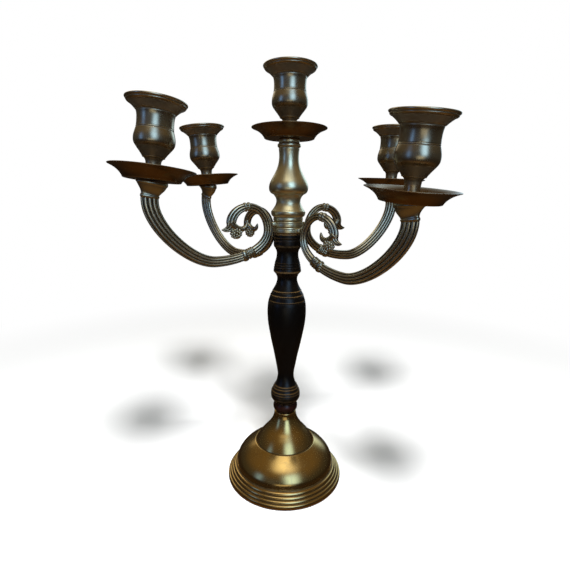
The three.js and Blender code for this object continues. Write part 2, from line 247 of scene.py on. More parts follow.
def turned(profile, facets, loop=False, relief_width=2.0, shade_bands=()):
    """Surface of revolution: grid point (i, j) is the profile's point i turned j/facets of a
    full turn about Z. A loop profile closes on itself; any other is closed on the axis. Each
    shade band (low, high, depth) lowers the relief between two heights, so the grime colour
    darkens it there as painted shade."""
    profile = profile[:-1] if loop else profile[profile[:, 0] > 0.05]
    turn = np.linspace(0, TURN, facets, endpoint=False)
    radius, height = profile[:, :1], profile[:, 1:]
    grid = np.stack([radius * np.cos(turn), radius * np.sin(turn),
                     np.broadcast_to(height, (len(profile), facets))], axis=-1)
    relief = relief_of(profile, relief_width)
    # Painted shade: lowering the relief in these bands lets the grime colour darken them.
    for low, high, depth in shade_bands:
        relief = relief - depth * bump(height[:, 0], (low + high) / 2, (high - low) / 2)
    along = np.r_[0, np.cumsum(np.hypot(*np.diff(profile, axis=0).T))]
    return Shell().add(grid, relief[:, None], along[:, None], wrap_rows=loop)


def squared(wave, power):
    """A cosine or sine with its sign kept and its size raised to a power: below 1, the power
    turns an ellipse into a rounded rectangle."""
    return np.sign(wave) * np.abs(wave)**power


STILL = np.eye(4)


def upright(name):
    """The lowest and highest z of a CAD node, in millimetres."""
    low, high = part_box(name)
    return low.z / MM, high.z / MM


# ---- where the candle places are

def candle_place(side):
    """A 4x4 matrix, in millimetres, that stands a piece drawn upright on the candle place: its
    origin is the pan's underside and its Z runs up the cup's screw axis."""
    joint = JOINTS[f"{side}_cup_unscrew"]
    axis = Vector(joint["axis"]).normalized()
    place = np.array(Vector((0, 0, 1)).rotation_difference(axis).to_matrix().to_4x4())
    place[:3, 3] = np.array(joint["pos_m"]) / MM
    return place


# ---- base

FELT_THICKNESS = 1.6


def base_shell(material):
    """Turned bell: four stepped beads, a bulging shoulder, one incised ring and a hollow flare
    up to the neck; inside, an even wall up to the solid neck and the hole for the tie rod."""
    foot, top = upright("base_shell")
    ceiling = 52.0       # underside of the solid neck
    profile = outline(
        bow((55.0, foot), (56.6, foot), (56.6, 1.6)),
        curve([(56.6, 3.0), (56.2, 4.3), (55.0, 4.8)]),
        bead((54.4, 4.9), (52.8, 7.4), 1.05),
        bead((52.4, 7.5), (50.9, 10.1), 1.05),
        bead((50.5, 10.2), (49.0, 12.9), 1.0),
        [(48.2, 13.1), (48.0, 14.1)],
        curve([(47.8, 15.2), (47.3, 18.6), (46.2, 21.4), (44.2, 24.6), (41.4, 27.8), (37.8, 30.9),
               (33.7, 33.9), (29.6, 36.6)]),
        [(29.05, 36.85), (28.75, 35.7), (28.3, 37.4)],
        curve([(28.1, 37.8), (25.8, 41.4), (23.2, 45.0), (20.2, 48.6), (17.2, 52.1), (14.7, 55.6),
               (12.7, 59.2), (11.3, 62.8), (10.65, 66.0)]),
        [(10.6, top - 0.4), (10.2, top), (9.6, top)],
        step=0.32, soften=0.16)
    inside = outline(
        [(8.4, top), (ROD_HOLE, top), (ROD_HOLE, ceiling), (11.0, ceiling)],
        curve([(11.0, ceiling), (19.0, 43.2), (35.6, 28.6), (42.6, 21.2), (45.2, 14.0)]),
        [(51.4, 5.0), (54.7, FELT_THICKNESS + 0.3), (54.7, foot + 0.1), (54.9, foot)],
        step=1.1, soften=0.3)
    turned(np.vstack([profile, inside, profile[:1]]), 176, loop=True).placed(
        "foot_bell", STILL, material, "polished_brass", "stand", ["base_shell"])


def base_felt(material):
    """Felt disc with a soft cut edge."""
    low, high = upright("base_felt")
    profile = outline([(0, low), (54.2, low)], curve([(54.2, low), (54.4, 0.8), (54.2, high)]),
                      [(54.2, high), (0, high)], step=0.8, soften=0.3)
    turned(profile, 144).placed("foot_felt", STILL, material, "felt", "stand", ["base_felt"])


# ---- column

def column_collar(material):
    """Turned bead with a small foot, between the bell and the column."""
    low, high = upright("column_collar")
    profile = outline([(0, low), (9.3, low)],
                      curve([(9.5, low + 0.2), (10.6, low + 1.2), (11.5, low + 3.0),
                             (11.8, low + 5.0), (11.5, low + 6.9), (10.7, low + 8.3),
                             (10.2, high)]),
                      [(10.0, high), (0, high)], step=0.22, soften=0.2)
    turned(profile, 128).placed(
        "column_bead", STILL, material, "red_brown_lacquer", "stand", ["column_collar"])


def scribed(points, depth=0.42, half=0.5):
    """Outline points for fine lines cut at each (radius, height): a shallow V with raised lips."""
    cuts = []
    for radius, height in points:
        cuts += [(radius + 0.14, height - half), (radius - depth, height),
                 (radius + 0.1, height + half)]
    return cuts


def column(material):
    """Turned column: a foot bead with scribed lines, a slim waist, the long baluster with four
    scribed lines on its shoulder, a second waist, a sharp collar and the plain neck."""
    low, high = upright("column")
    profile = outline(
        [(0, low), (10.2, low), (10.6, low + 0.5)],
        curve([(10.9, low + 1.0), (11.6, 80.0)]),
        [(11.7, 80.4), (12.5, 80.9)],
        curve([(12.7, 81.3), (13.9, 83.4), (14.2, 86.0)]),
        scribed([(14.1, 87.6), (13.6, 90.2)]),
        [(12.9, 91.6)],
        scribed([(12.2, 93.2), (11.1, 95.6)]),
        curve([(10.4, 96.8), (9.0, 99.8), (8.0, 104.0), (7.8, 108.0), (8.4, 112.6),
               (9.5, 118.4), (11.0, 126.4), (12.8, 134.8), (14.5, 142.8), (16.0, 150.8),
               (17.3, 158.4), (17.95, 165.2), (18.1, 171.4), (17.8, 177.0), (17.4, 179.6)]),
        scribed([(17.1, 180.8)]),
        curve([(16.8, 182.0), (15.9, 185.0)]),
        scribed([(15.5, 186.0)]),
        curve([(15.0, 187.2), (14.0, 189.2)]),
        scribed([(13.6, 190.0)]),
        curve([(13.0, 191.2), (11.7, 193.6), (10.2, 196.8), (9.25, 200.6), (9.4, 203.2),
               (10.3, 205.4), (11.6, 207.2)]),
        curve([(12.2, 207.8), (12.7, 208.5), (12.6, 210.2)], steps=6),
        scribed([(12.4, 211.4), (12.0, 213.6), (11.6, 215.8)], depth=0.3),
        curve([(11.3, 217.2), (10.9, 218.6), (10.2, 221.2), (9.9, 224.0), (10.1, 227.0),
               (11.3, 229.6), (12.5, 231.6), (12.8, 233.4)]),
        [(12.75, 237.2), (12.3, 237.7), (12.3, 238.1), (12.75, 238.6), (12.7, 242.8)],
        [(12.4, high), (0, high)],
        step=0.34, soften=0.16)
    turned(profile, 136).placed(
        "column_turning", STILL, material, "black_lacquer", "stand", ["column"])


# ---- hub

LUG_HALF_WIDTH = 2.6
LUG_HALF_HEIGHT = 1.9


def arm_ring(level, sides, material):
    """Flat ring with a line scribed near its top, and a rounded lug towards each of its two arms.
    A lug is a rounded rectangle carried straight out along its arm."""
    node = f"{level}_arm_ring"
    low, high = upright(node)
    profile = outline([(ROD_HOLE, low), (12.9, low)],
                      curve([(13.1, low + 0.1), (13.35, low + 0.6), (13.4, high - 2.2)], steps=8),
                      [(13.35, high - 1.7), (12.95, high - 1.5), (13.35, high - 1.3)],
                      curve([(13.4, high - 1.1), (13.35, high - 0.6), (13.1, high - 0.1)],
                            steps=6),
                      [(12.9, high), (ROD_HOLE, high), (ROD_HOLE, low)],
                      step=0.2, soften=0.1)
    shell = turned(profile, 128, loop=True)
    for side in sides:
        bearing = bearing_of(side)
        turn = np.linspace(0, TURN, 48, endpoint=False)
        across = LUG_HALF_WIDTH * squared(np.cos(turn), 0.4)
        rise = LUG_HALF_HEIGHT * squared(np.sin(turn), 0.4)
        reach = np.array([11.0, 13.0, 15.6, 16.05, 16.1])[:, None]
        full = np.array([1.0, 1.0, 1.0, 0.9, 0.7])[:, None]
        x = reach * math.cos(bearing) - across * full * math.sin(bearing)
        y = reach * math.sin(bearing) + across * full * math.cos(bearing)
        z = (low + high) / 2 + rise * full
        shell.add(np.stack([x, y, np.broadcast_to(z, x.shape)], axis=-1), 0.2, 0.0)
    shell.placed(f"{level}_ring", STILL, material, "aged_brass", f"{level}_arms", [node])


def upper_stem(material):
    """Turned stem: a plain band, a rolled skirt with a hollow above it, the bulb with its sharp
    lower edge, the long neck and a small bead under the pan."""
    low, high = upright("upper_stem")
    profile = outline(
        [(0, low), (12.9, low)],
        curve([(13.2, low + 0.2), (13.3, 255.6), (13.2, 257.0)], steps=6),
        [(12.9, 257.4), (13.4, 257.8)],
        curve([(13.7, 258.0), (14.9, 259.3), (15.3, 261.0), (15.2, 262.4), (14.4, 263.6)]),
        curve([(14.1, 263.9), (13.0, 265.6), (11.8, 267.6), (11.0, 269.6), (10.7, 271.4),
               (11.0, 273.6), (12.0, 275.6), (13.4, 277.2)]),
        curve([(14.0, 277.5), (15.6, 278.4), (16.8, 280.0), (17.3, 282.2), (17.2, 284.6),
               (16.5, 287.2), (15.2, 289.9), (13.6, 292.8), (12.1, 295.6), (10.7, 298.6),
               (9.6, 301.8), (8.9, 305.2), (8.6, 309.0), (8.7, 312.6), (9.0, 315.4)]),
        [(9.0, 316.3), (8.6, 316.6)],
        bead((9.3, 316.9), (9.3, 320.1), 0.85),
        [(8.7, 320.4), (9.0, 320.9), (9.1, 322.6), (8.9, high), (0, high)],
        step=0.26, soften=0.18)
    turned(profile, 128).placed(
        "stem_turning", STILL, material, "aged_brass", "stand", ["upper_stem"])


# ---- pans, cups and studs

CUP_FOOT = 1.6           # the cup stands on the pan's floor


def drip_pan(side, body, material):
    """Turned pan: flat floor, a wall that flares out in one hollow curve, a thin rolled rim."""
    profile = outline(
        [(STUD_HOLE, 0), (21.2, 0)],
        bow((21.6, 0.1), (24.0, 5.6), (31.9, 8.4)),
        curve([(32.1, 8.5), (32.75, 8.8), (32.5, 9.25), (31.7, 9.3)], steps=5),
        bow((31.4, 9.2), (23.4, 6.4), (20.4, 1.5)),
        [(20.0, 1.3), (12.2, 1.3), (11.9, 1.15), (11.6, 1.3), (STUD_HOLE, 1.3), (STUD_HOLE, 0)],
        step=0.38, soften=0.2)
    turned(profile, 128, loop=True, relief_width=1.4).placed(
        f"{side}_pan", candle_place(side), material, "bronzed_brass", body, [f"{side}_drip_pan"])


def candle_cup(side, material):
    """Turned cup: a slim foot, the round bowl with a fine ring below it, a waist between two
    scribed lines, a flare to the double lip, and the candle's socket inside. It is drawn from
    its own foot up."""
    outside = outline(
        [(6.0, 0), (6.4, 0)],
        curve([(6.8, 0.2), (6.9, 0.9), (6.4, 2.0), (5.8, 4.6), (5.6, 8.4), (5.7, 11.2),
               (6.1, 13.2), (7.2, 14.8)]),
        [(7.7, 15.0), (8.4, 15.2), (8.5, 15.9)],
        curve([(8.7, 16.2), (10.4, 18.6), (12.3, 21.0), (14.1, 23.4), (15.1, 25.4), (15.4, 27.8),
               (15.2, 30.4), (14.6, 33.0), (14.0, 35.2)]),
        [(13.6, 35.7), (14.0, 36.1), (13.6, 36.6)],
        curve([(13.75, 37.0), (13.6, 39.4), (13.6, 42.2), (13.8, 45.0), (14.3, 47.2)]),
        [(14.1, 47.7), (14.8, 48.0)],
        curve([(15.1, 48.2), (16.4, 49.6), (18.2, 51.2), (20.0, 52.6)]),
        bead((20.4, 52.8), (21.9, 54.1), 0.3),
        [(21.5, 54.4)],
        curve([(21.9, 54.5), (22.7, 55.2), (22.85, 55.9), (22.3, 56.5), (20.8, 56.6)]),
        step=0.3, soften=0.16)
    underside = outline([(0, 0), (5.6, 0)], step=0.8)
    socket = outline(
        curve([(20.3, 56.4), (18.4, 54.9), (16.2, 52.8), (13.6, 49.2), (11.9, 45.8),
               (11.1, 42.6)]),
        [(11.0, 42.2), (11.0, 23.2), (10.6, 22.6), (0, 22.6)],
        step=0.7)
    profile = np.vstack([underside, outside, socket]) + (0, CUP_FOOT)
    # Painted shade: these two bands darken the lower bowl and the underside of the lip with the
    # grime colour, standing in for the dark reflections and shade there.
    bowl_shade_band = (CUP_FOOT + 10, CUP_FOOT + 23.4, 0.9)
    lip_shade_band = (CUP_FOOT + 47.6, CUP_FOOT + 53.2, 0.9)
    turned(profile, 128, relief_width=1.6, shade_bands=[bowl_shade_band, lip_shade_band]).placed(
        f"{side}_cup", candle_place(side), material, "aged_brass", f"{side}_cup",
        [f"{side}_candle_cup"])


THREAD_PITCH = 0.8


def cup_stud(side, material):
    """Threaded stud: the radius is 1.72 mm plus a triangle wave that climbs one pitch a turn,
    fading out at both ends."""
    low, high = -8.0, CUP_FOOT + 9.0
    height = np.linspace(low, high, 300)[:, None]
    turn = np.linspace(0, TURN, 24, endpoint=False)[None, :]
    phase = height / THREAD_PITCH - turn / TURN
    wave = np.abs((phase % 1) * 2 - 1)
    fade = np.clip(np.minimum(height - low, high - height) / 1.2, 0, 1)
    radius = 1.62 + 0.36 * wave * fade
    grid = np.stack([radius * np.cos(turn), radius * np.sin(turn),
                     np.broadcast_to(height, radius.shape)], axis=-1)
    Shell().add(grid, wave * 2 - 1, height).placed(
        f"{side}_stud", candle_place(side), material, "steel", f"{side}_stud",
        [f"{side}_cup_stud"])


# ---- scroll arms

HUB_RADIUS = 16.4
ARM_REACH = 115.4
ARM_RISE = 285.2
PAN_LIFT = 0.6           # how far a pan stands off its arm's capital
ARM_HALF = 2.8           # half the strap's thickness
REEDS_ON_SCROLL = 3
REEDS_ON_ARM = 4


def bearing_of(side):
    """Direction of an arm from the column, from where its cup's axis stands."""
    x, y, _ = JOINTS[f"{side}_cup_unscrew"]["pos_m"]
    return math.atan2(y, x)


def set_of_arm(side, pivot):
    """The arm's sag and its cup's lean, in radians, worked out from the cup's axis: sag is how
    far the line from the ring to the cup has turned down, lean how far the cup tips outwards."""
    joint = JOINTS[f"{side}_cup_unscrew"]
    bearing = bearing_of(side)
    axis = np.array(joint["axis"])
    x, y, z = np.array(joint["pos_m"]) / MM - PAN_LIFT * axis
    lean = math.atan2(axis[0] * math.cos(bearing) + axis[1] * math.sin(bearing), axis[2])
    level = math.atan2(ARM_RISE - upper_pivot(), ARM_REACH - HUB_RADIUS)
    found = math.atan2(z - pivot, math.hypot(x, y) - HUB_RADIUS)
    return level - found, lean


def upper_pivot():
    return sum(upright("upper_arm_ring")) / 2


def quarter(centre, radii, start, end, steps):
    """Part of an ellipse between two angles, given in quarter turns."""
    angle = np.linspace(start, end, steps)[:, None] * TURN / 4
    return np.array(centre) + np.hstack([radii[0] * np.cos(angle), radii[1] * np.sin(angle)])


def cubic(a, b, c, d, steps):
    """Cubic Bezier curve through its ends a and d, with handles b and c."""
    t = np.linspace(0, 1, steps)[:, None]
    a, b, c, d = (np.array(q, float) for q in (a, b, c, d))
    return (1 - t)**3 * a + 3 * t * (1 - t)**2 * b + 3 * t**2 * (1 - t) * c + t**3 * d


def arm_centre_line(lean):
    """The strap's middle, in the plane of radius and height, from the leaf's tip over the scroll,
    down past the hub and out to the capital. Returns the points and how far along its seven
    stations lie."""
    top = np.array([ARM_REACH, ARM_RISE])
    tip = np.array([math.sin(lean), math.cos(lean)])
    legs = [bow((61.5, 247.2), (54.4, 246.5), (53.2, 252.0), 40),
            quarter((36.5, 252.0), (16.7, 14.5), 0, 1, 60),
            quarter((36.5, 246.0), (16.6, 20.5), 1, 2, 60),
            quarter((67.0, 246.0), (47.1, 25.5), 2, 3, 80),
            cubic((67.0, 220.5), (88.0, 220.5), (117.8, 250.0), (118.0, 270.0), 90),
            cubic((118.0, 270.0), (118.4, 275.0), top - 6 * tip, top, 30)]
    lengths = [np.hypot(*np.diff(leg, axis=0).T).sum() for leg in legs]
    return spaced(np.vstack(legs), 0.46), np.r_[0, np.cumsum(lengths)]


def ramp(x, low, high):
    """0 below low, 1 above high, and a smooth S between them."""
    t = np.clip((x - low) / (high - low), 0, 1)
    return t * t * (3 - 2 * t)


def bump(x, centre, half):
    """A round-topped bump: 1 at the centre, 0 beyond half a width."""
    return np.sqrt(np.clip(1 - ((x - centre) / half)**2, 0, 1))


def scroll_strap(lean):
    """The arm's main casting. Its section is a rounded strap, the point at angle a lying at
    (half width * cos a, half thickness * sin a) with both powers flattened. Reeds run along both
    faces: the grooves between them are where a cosine of the distance across nears zero. They
    stop at the bands and at the capital, where the strap swells into an oval trumpet."""
    line, stations = arm_centre_line(lean)
    s = np.r_[0, np.cumsum(np.hypot(*np.diff(line, axis=0).T))]
    s *= stations[-1] / s[-1]
    widths = [1.6, 9.4, 6.0, 7.0, 9.2, 13.4, 14.0]
    half_width = np.interp(s, stations, widths) / 2
    half_width = blurred(half_width[:, None], 7)[:, 0]
    half_width = np.minimum(half_width, 0.35 + 0.62 * s)
    thick = ARM_HALF * (0.35 + 0.65 * ramp(s, 0, 10)) * (0.86 + 0.14 * ramp(s, 60, 110))
    reed = ramp(s, 0.5, 4)
    knuckle = (stations[3] + stations[4]) / 2
    crown = stations[2] - 2.5
    end = stations[-1]
    for centre, half, swell in ((knuckle - 5.0, 0.95, 0.8), (knuckle - 2.9, 0.95, 0.85),
                                (knuckle - 0.8, 0.95, 0.85), (knuckle + 2.9, 2.3, 1.1),
                                (crown - 1.5, 1.0, 0.7), (crown + 1.5, 1.0, 0.7),
                                (end - 11.4, 1.0, 0.5)):
        ring = bump(s, centre, half)
        half_width += swell * ring
        thick += swell * ring
        reed *= 1 - bump(s, centre, half + 0.35)
    flare = ramp(s, end - 10.5, end - 1.8)
    half_width += flare * (11.3 - 7.0)
    thick += flare * (6.4 - ARM_HALF)
    lip = bump(s, end - 1.3, 1.4)
    half_width += 0.7 * lip
    thick += 0.7 * lip
    reed *= 1 - ramp(s, end - 12.6, end - 11.6)
    a = np.linspace(0, TURN, 112, endpoint=False)[None, :]
    roundness = (0.7 + 0.3 * ramp(s, end - 10, end - 3))[:, None]
    across = squared(np.cos(a), 0.9 + 0.1 * roundness)
    proud = squared(np.sin(a), roundness)
    count = np.where(s < knuckle, REEDS_ON_SCROLL, REEDS_ON_ARM)[:, None]
    groove = (1 - np.abs(np.cos(across * count * math.pi / 2)))**1.25
    depth = np.where(s < knuckle, 1.3, 1.15)[:, None] * reed[:, None]
    y = proud * (thick[:, None] - depth * groove * ramp(np.abs(np.sin(a)), 0.05, 0.45))
    ahead = np.gradient(line, axis=0)
    ahead /= np.hypot(*ahead.T)[:, None]
    normal = np.stack([-ahead[:, 1], ahead[:, 0]], axis=1)
    offset = across * half_width[:, None]
    grid = np.stack([line[:, :1] + offset * normal[:, :1], y,
                     line[:, 1:] + offset * normal[:, 1:]], axis=-1)
    relief = (0.7 - 2.0 * groove) * reed[:, None] + (1 - reed[:, None]) * 0.1
    return grid, relief, s[:, None]


def volute_hook():
    """The small hook under the leaf: a round section carried along a curl, fat where it leaves
    the leaf and ending in a ball."""
    path = spaced(curve([(53.6, 254.0), (51.2, 250.6), (47.8, 248.4), (44.0, 247.6),
                         (41.0, 248.6), (39.6, 250.8), (39.0, 253.6)]), 0.3)
    share = np.linspace(0, 1, len(path))
    radius = 3.3 - 1.1 * ramp(share, 0, 0.8)
    radius *= np.sqrt(np.clip((1 - share) / 0.3, 0.02, 1))
    ahead = np.gradient(path, axis=0)
    ahead /= np.hypot(*ahead.T)[:, None]
    turn = np.linspace(0, TURN, 40, endpoint=False)[None, :]
    offset, y = radius[:, None] * np.cos(turn), radius[:, None] * np.sin(turn) * 0.95
    grid = np.stack([path[:, :1] - offset * ahead[:, 1:], y, path[:, 1:] + offset * ahead[:, :1]],
                    axis=-1)
    return grid, 0.1 * np.ones_like(offset), share[:, None] * 20


def berry(x, y, z, radius):
    """A small ball: rings of points from pole to pole."""
    tilt = np.linspace(0.2, math.pi - 0.2, 10)[:, None]
    turn = np.linspace(0, TURN, 16, endpoint=False)[None, :]
    out = radius * np.sin(tilt)
    return np.stack([x + out * np.cos(turn), y + out * np.sin(turn),
                     np.broadcast_to(z + radius * np.cos(tilt), (10, 16))], axis=-1)


BERRY_CENTRE = (48.8, 244.4)
BERRY_TILT = math.radians(-25)


def berries():
    """The berry's core and the balls over it, in rings that shift by half a ball. Each ball lies
    at (4.4 sin t cos a, 2.9 sin t sin a, -4 cos t), the whole leaning with the leaf."""
    tilt = np.repeat(np.linspace(0.08, 0.92, 6) * math.pi, 9)
    turn = np.tile(np.arange(9), 6) / 9 * TURN + np.repeat(np.arange(6) % 2, 9) * TURN / 18
    along, y, down = 4.4 * np.sin(tilt) * np.cos(turn), 2.9 * np.sin(tilt) * np.sin(turn), \
        -4.0 * np.cos(tilt)
    x = BERRY_CENTRE[0] + along * math.cos(BERRY_TILT) - down * math.sin(BERRY_TILT)
    z = BERRY_CENTRE[1] + along * math.sin(BERRY_TILT) + down * math.cos(BERRY_TILT)
    return np.stack([x, y, z], axis=1)


def scroll_arm(side, level, material):
    """Hangs the castings on the arm's ring: the drawing is for a level arm on the upper ring, so
    it is turned by the arm's sag about the ring, dropped to its ring and turned to its bearing."""
    ring = f"{level}_arm_ring"
    pivot = sum(upright(ring)) / 2
    sag, lean = set_of_arm(side, pivot)
    shell = Shell().add(*scroll_strap(lean - sag))
    shell.add(*volute_hook())
    core = berry(0, 0, 0, 3.9) * np.array([1.1, 0.74, 1])
    shell.add(core + np.array([BERRY_CENTRE[0], 0, BERRY_CENTRE[1]]), -0.8, 0.0)
    for x, y, z in berries():
        shell.add(berry(x, y, z, 1.3), 0.6, 0.0)
    turn = Matrix.Rotation(bearing_of(side), 4, "Z") @ Matrix.Translation((HUB_RADIUS, 0, pivot)) \
        @ Matrix.Rotation(sag, 4, "Y") @ Matrix.Translation((-HUB_RADIUS, 0, -upper_pivot()))
    shell.placed(f"{side}_scroll_arm", np.array(turn), material, "aged_brass", f"{level}_arms",
                 [f"{side}_arm"])


# ---- nodes

def put(tree, kind, inputs=None, **settings):
    """Adds a node with its settings; inputs names sockets and gives each a value or a link."""
    node = tree.nodes.new(kind)
    for key, value in settings.items():
        setattr(node, key, value)
    for key, value in (inputs or {}).items():
        if isinstance(value, bpy.types.NodeSocket):
            tree.links.new(value, node.inputs[key])
        else:
            node.inputs[key].default_value = value
    return node


def maths(tree, operation, a, b=0.0, clamp=False):
    """One Math node's result."""
    node = put(tree, "ShaderNodeMath", {0: a, 1: b}, operation=operation, use_clamp=clamp)
    return node.outputs[0]


def plus(tree, a, b, clamp=False):
    return maths(tree, "ADD", a, b, clamp)


def minus(tree, a, b):
    return maths(tree, "SUBTRACT", a, b)


def times(tree, a, b):
    return maths(tree, "MULTIPLY", a, b)


def eased(tree, value, low, high, to_low=0.0, to_high=1.0):
    """Smooth S from to_low, at low, to to_high, at high."""
    return put(tree, "ShaderNodeMapRange",
               {"Value": value, "From Min": low, "From Max": high, "To Min": to_low,
                "To Max": to_high}, interpolation_type="SMOOTHSTEP").outputs[0]


def mixed(tree, share, a, b, blend="MIX"):
    """Mix of two colours."""
    node = put(tree, "ShaderNodeMix", {0: share, 6: a, 7: b}, data_type="RGBA", blend_type=blend)
    return node.outputs[2]


def noise(tree, place, scale, detail=3.0, roughness=0.5, distortion=0.0):
    """Cloudy noise, 0 to 1."""
    return put(tree, "ShaderNodeTexNoise",
               {"Vector": place, "Scale": scale, "Detail": detail, "Roughness": roughness,
                "Distortion": distortion}).outputs["Fac"]


def stretched(tree, place, scale, turn=(0, 0, 0)):
    """The place turned and scaled, which draws a noise out into streaks."""
    return put(tree, "ShaderNodeMapping",
               {"Vector": place, "Rotation": turn, "Scale": scale}).outputs[0]


def dented(tree, height, strength, distance):
    """The surface's direction, tilted by the slope of a height."""
    return put(tree, "ShaderNodeBump",
               {"Strength": strength, "Distance": distance, "Height": height}).outputs[0]


def attribute(tree, name):
    """One of the piece's own two values at each point."""
    return put(tree, "ShaderNodeAttribute", attribute_name=name).outputs["Fac"]


def position(tree):
    return put(tree, "ShaderNodeTexCoord").outputs["Object"]


def rgb(red, green, blue):
    return red, green, blue, 1.0


def new_group(name, inputs, outputs):
    """An empty node group. inputs maps a name to its default, a number or a colour; outputs maps
    a name to a socket kind. Returns the tree, its input sockets and its output node."""
    tree = bpy.data.node_groups.new(name, "ShaderNodeTree")
    for title, default in inputs.items():
        kind = "NodeSocketFloat" if isinstance(default, float) else "NodeSocketColor"
        socket = tree.interface.new_socket(name=title, in_out="INPUT", socket_type=kind)
        socket.default_value = default
    for title, kind in outputs.items():
        tree.interface.new_socket(name=title, in_out="OUTPUT", socket_type=kind)
    return tree, tree.nodes.new("NodeGroupInput").outputs, tree.nodes.new("NodeGroupOutput")


def use(tree, group, **inputs):
    """Places a node group; a name's underscore stands for a space."""
    node = put(tree, "ShaderNodeGroup", node_tree=group)
    for key, value in inputs.items():
        socket = node.inputs[key.replace("_", " ")]
        if isinstance(value, bpy.types.NodeSocket):
            tree.links.new(value, socket)
        else:
            socket.default_value = value
    return node.outputs


def age_group():
    """Age on metal and lacquer: the grime colour gathers where the surface is hollow, as dirt
    and as painted shade in marked bands and grooves, edges are rubbed bright, and the colour
    between them drifts in slow clouds."""
    tree, given, out = new_group(
        "age", {"Rubbed": rgb(1, 1, 1), "Body": rgb(0.5, 0.5, 0.5), "Grime": rgb(0, 0, 0),
                "Rubbing": 0.5, "Grime Amount": 0.5, "Cloud Amount": 0.3, "Cloud Scale": 60.0},
        {"Colour": "NodeSocketColor", "Grime And Shade Mask": "NodeSocketFloat",
         "Rubbed Mask": "NodeSocketFloat"})
    place = position(tree)
    relief = attribute(tree, "relief")
    slow = noise(tree, place, given["Cloud Scale"], 4.0, 0.55, 0.6)
    fine = noise(tree, place, 900.0, 3.0, 0.6)
    ragged = times(tree, minus(tree, fine, 0.5), 0.25)
    drift = times(tree, minus(tree, slow, 0.5), 0.9)
    uneven = plus(tree, ragged, drift)
    # Dirt and painted shade: the grime colour goes where the relief is low, in grooves and in
    # bands a piece marks down to darken them.
    hollow = plus(tree, times(tree, relief, -1.0), uneven)
    grime = times(tree, eased(tree, hollow, 0.12, 0.75), given["Grime Amount"])
    proud = plus(tree, relief, uneven)
    rubbed = times(tree, eased(tree, proud, 0.2, 0.85), given["Rubbing"])
    shade = eased(tree, slow, 0.3, 0.7, 0.55, 1.35)
    shaded = mixed(tree, 1.0, given["Body"],
                   put(tree, "ShaderNodeCombineColor", {0: shade, 1: shade, 2: shade}).outputs[0],
                   "MULTIPLY")
    body = mixed(tree, given["Cloud Amount"], given["Body"], shaded)
    colour = mixed(tree, grime, mixed(tree, rubbed, body, given["Rubbed"]), given["Grime"])
    tree.links.new(colour, out.inputs["Colour"])
    tree.links.new(grime, out.inputs["Grime And Shade Mask"])
    tree.links.new(rubbed, out.inputs["Rubbed Mask"])
    return tree


def handling_group():
    """What hands and cloths leave: wiped smears, small round prints and specks."""
    tree, given, out = new_group(
        "handling", {"Smear Scale": 70.0},
        {"Smear": "NodeSocketFloat", "Specks": "NodeSocketFloat"})
    place = position(tree)
    wiped = stretched(tree, place, (1.0, 1.0, 0.35))
    smear = noise(tree, wiped, given["Smear Scale"], 5.0, 0.62, 1.4)
    prints = put(tree, "ShaderNodeTexVoronoi", {"Vector": place, "Scale": 110.0},
                 feature="SMOOTH_F1").outputs["Distance"]
    blots = times(tree, eased(tree, prints, 0.55, 0.2), 0.35)
    tree.links.new(plus(tree, eased(tree, smear, 0.42, 0.68), blots, clamp=True),
                   out.inputs["Smear"])
    spots = put(tree, "ShaderNodeTexVoronoi", {"Vector": place, "Scale": 1400.0})
    chance = put(tree, "ShaderNodeSeparateColor", {0: spots.outputs["Color"]}).outputs[0]
    small = eased(tree, spots.outputs["Distance"], 0.32, 0.12)
    tree.links.new(times(tree, small, eased(tree, chance, 0.86, 0.9)),
                   out.inputs["Specks"])
    return tree


LATHE_LINES_PER_MM = 3.0


def lathe_group():
    """Lathe and polishing lines: noise that changes only along the outline, one coarse set,
    broken up a little around the piece."""
    tree, _, out = new_group("lathe_lines", {}, {"Height": "NodeSocketFloat"})
    along = attribute(tree, "along")
    wander = noise(tree, position(tree), 40.0, 2.0)
    track = plus(tree, times(tree, along, LATHE_LINES_PER_MM),
                   times(tree, wander, 0.6))
    coarse = put(tree, "ShaderNodeTexNoise", {"W": track, "Scale": 1.0, "Detail": 3.0},
                 noise_dimensions="1D").outputs["Fac"]
    tree.links.new(coarse, out.inputs["Height"])
    return tree


def scratch_group():
    """Hair scratches: three sets of noise squeezed thin along different directions, of which only
    the crests are kept."""
    tree, given, out = new_group("hair_scratches", {"Amount": 0.5}, {"Height": "NodeSocketFloat"})
    place = position(tree)
    height = None
    for turn, stretch in (((0.4, 0.2, 0.5), (40, 1400, 300)), ((1.3, 0.9, 2.1), (1400, 60, 500)),
                          ((2.2, 0.3, 1.2), (700, 1200, 30))):
        thin = stretched(tree, place, stretch, turn)
        line = eased(tree, noise(tree, thin, 1.0, 1.0), 0.66, 0.74)
        height = line if height is None else maths(tree, "MAXIMUM", height, line)
    tree.links.new(times(tree, height, given["Amount"]), out.inputs["Height"])
    return tree


AGE = age_group()
HANDLING = handling_group()
LATHE = lathe_group()
SCRATCHES = scratch_group()


# ---- finishes

def new_material(name):
    material = bpy.data.materials.new(name)
    material.use_nodes = True
    tree = material.node_tree
    return material, tree, tree.nodes["Principled BSDF"]


def link(tree, pairs, shader):
    for socket, value in pairs.items():
        tree.links.new(value, shader.inputs[socket])


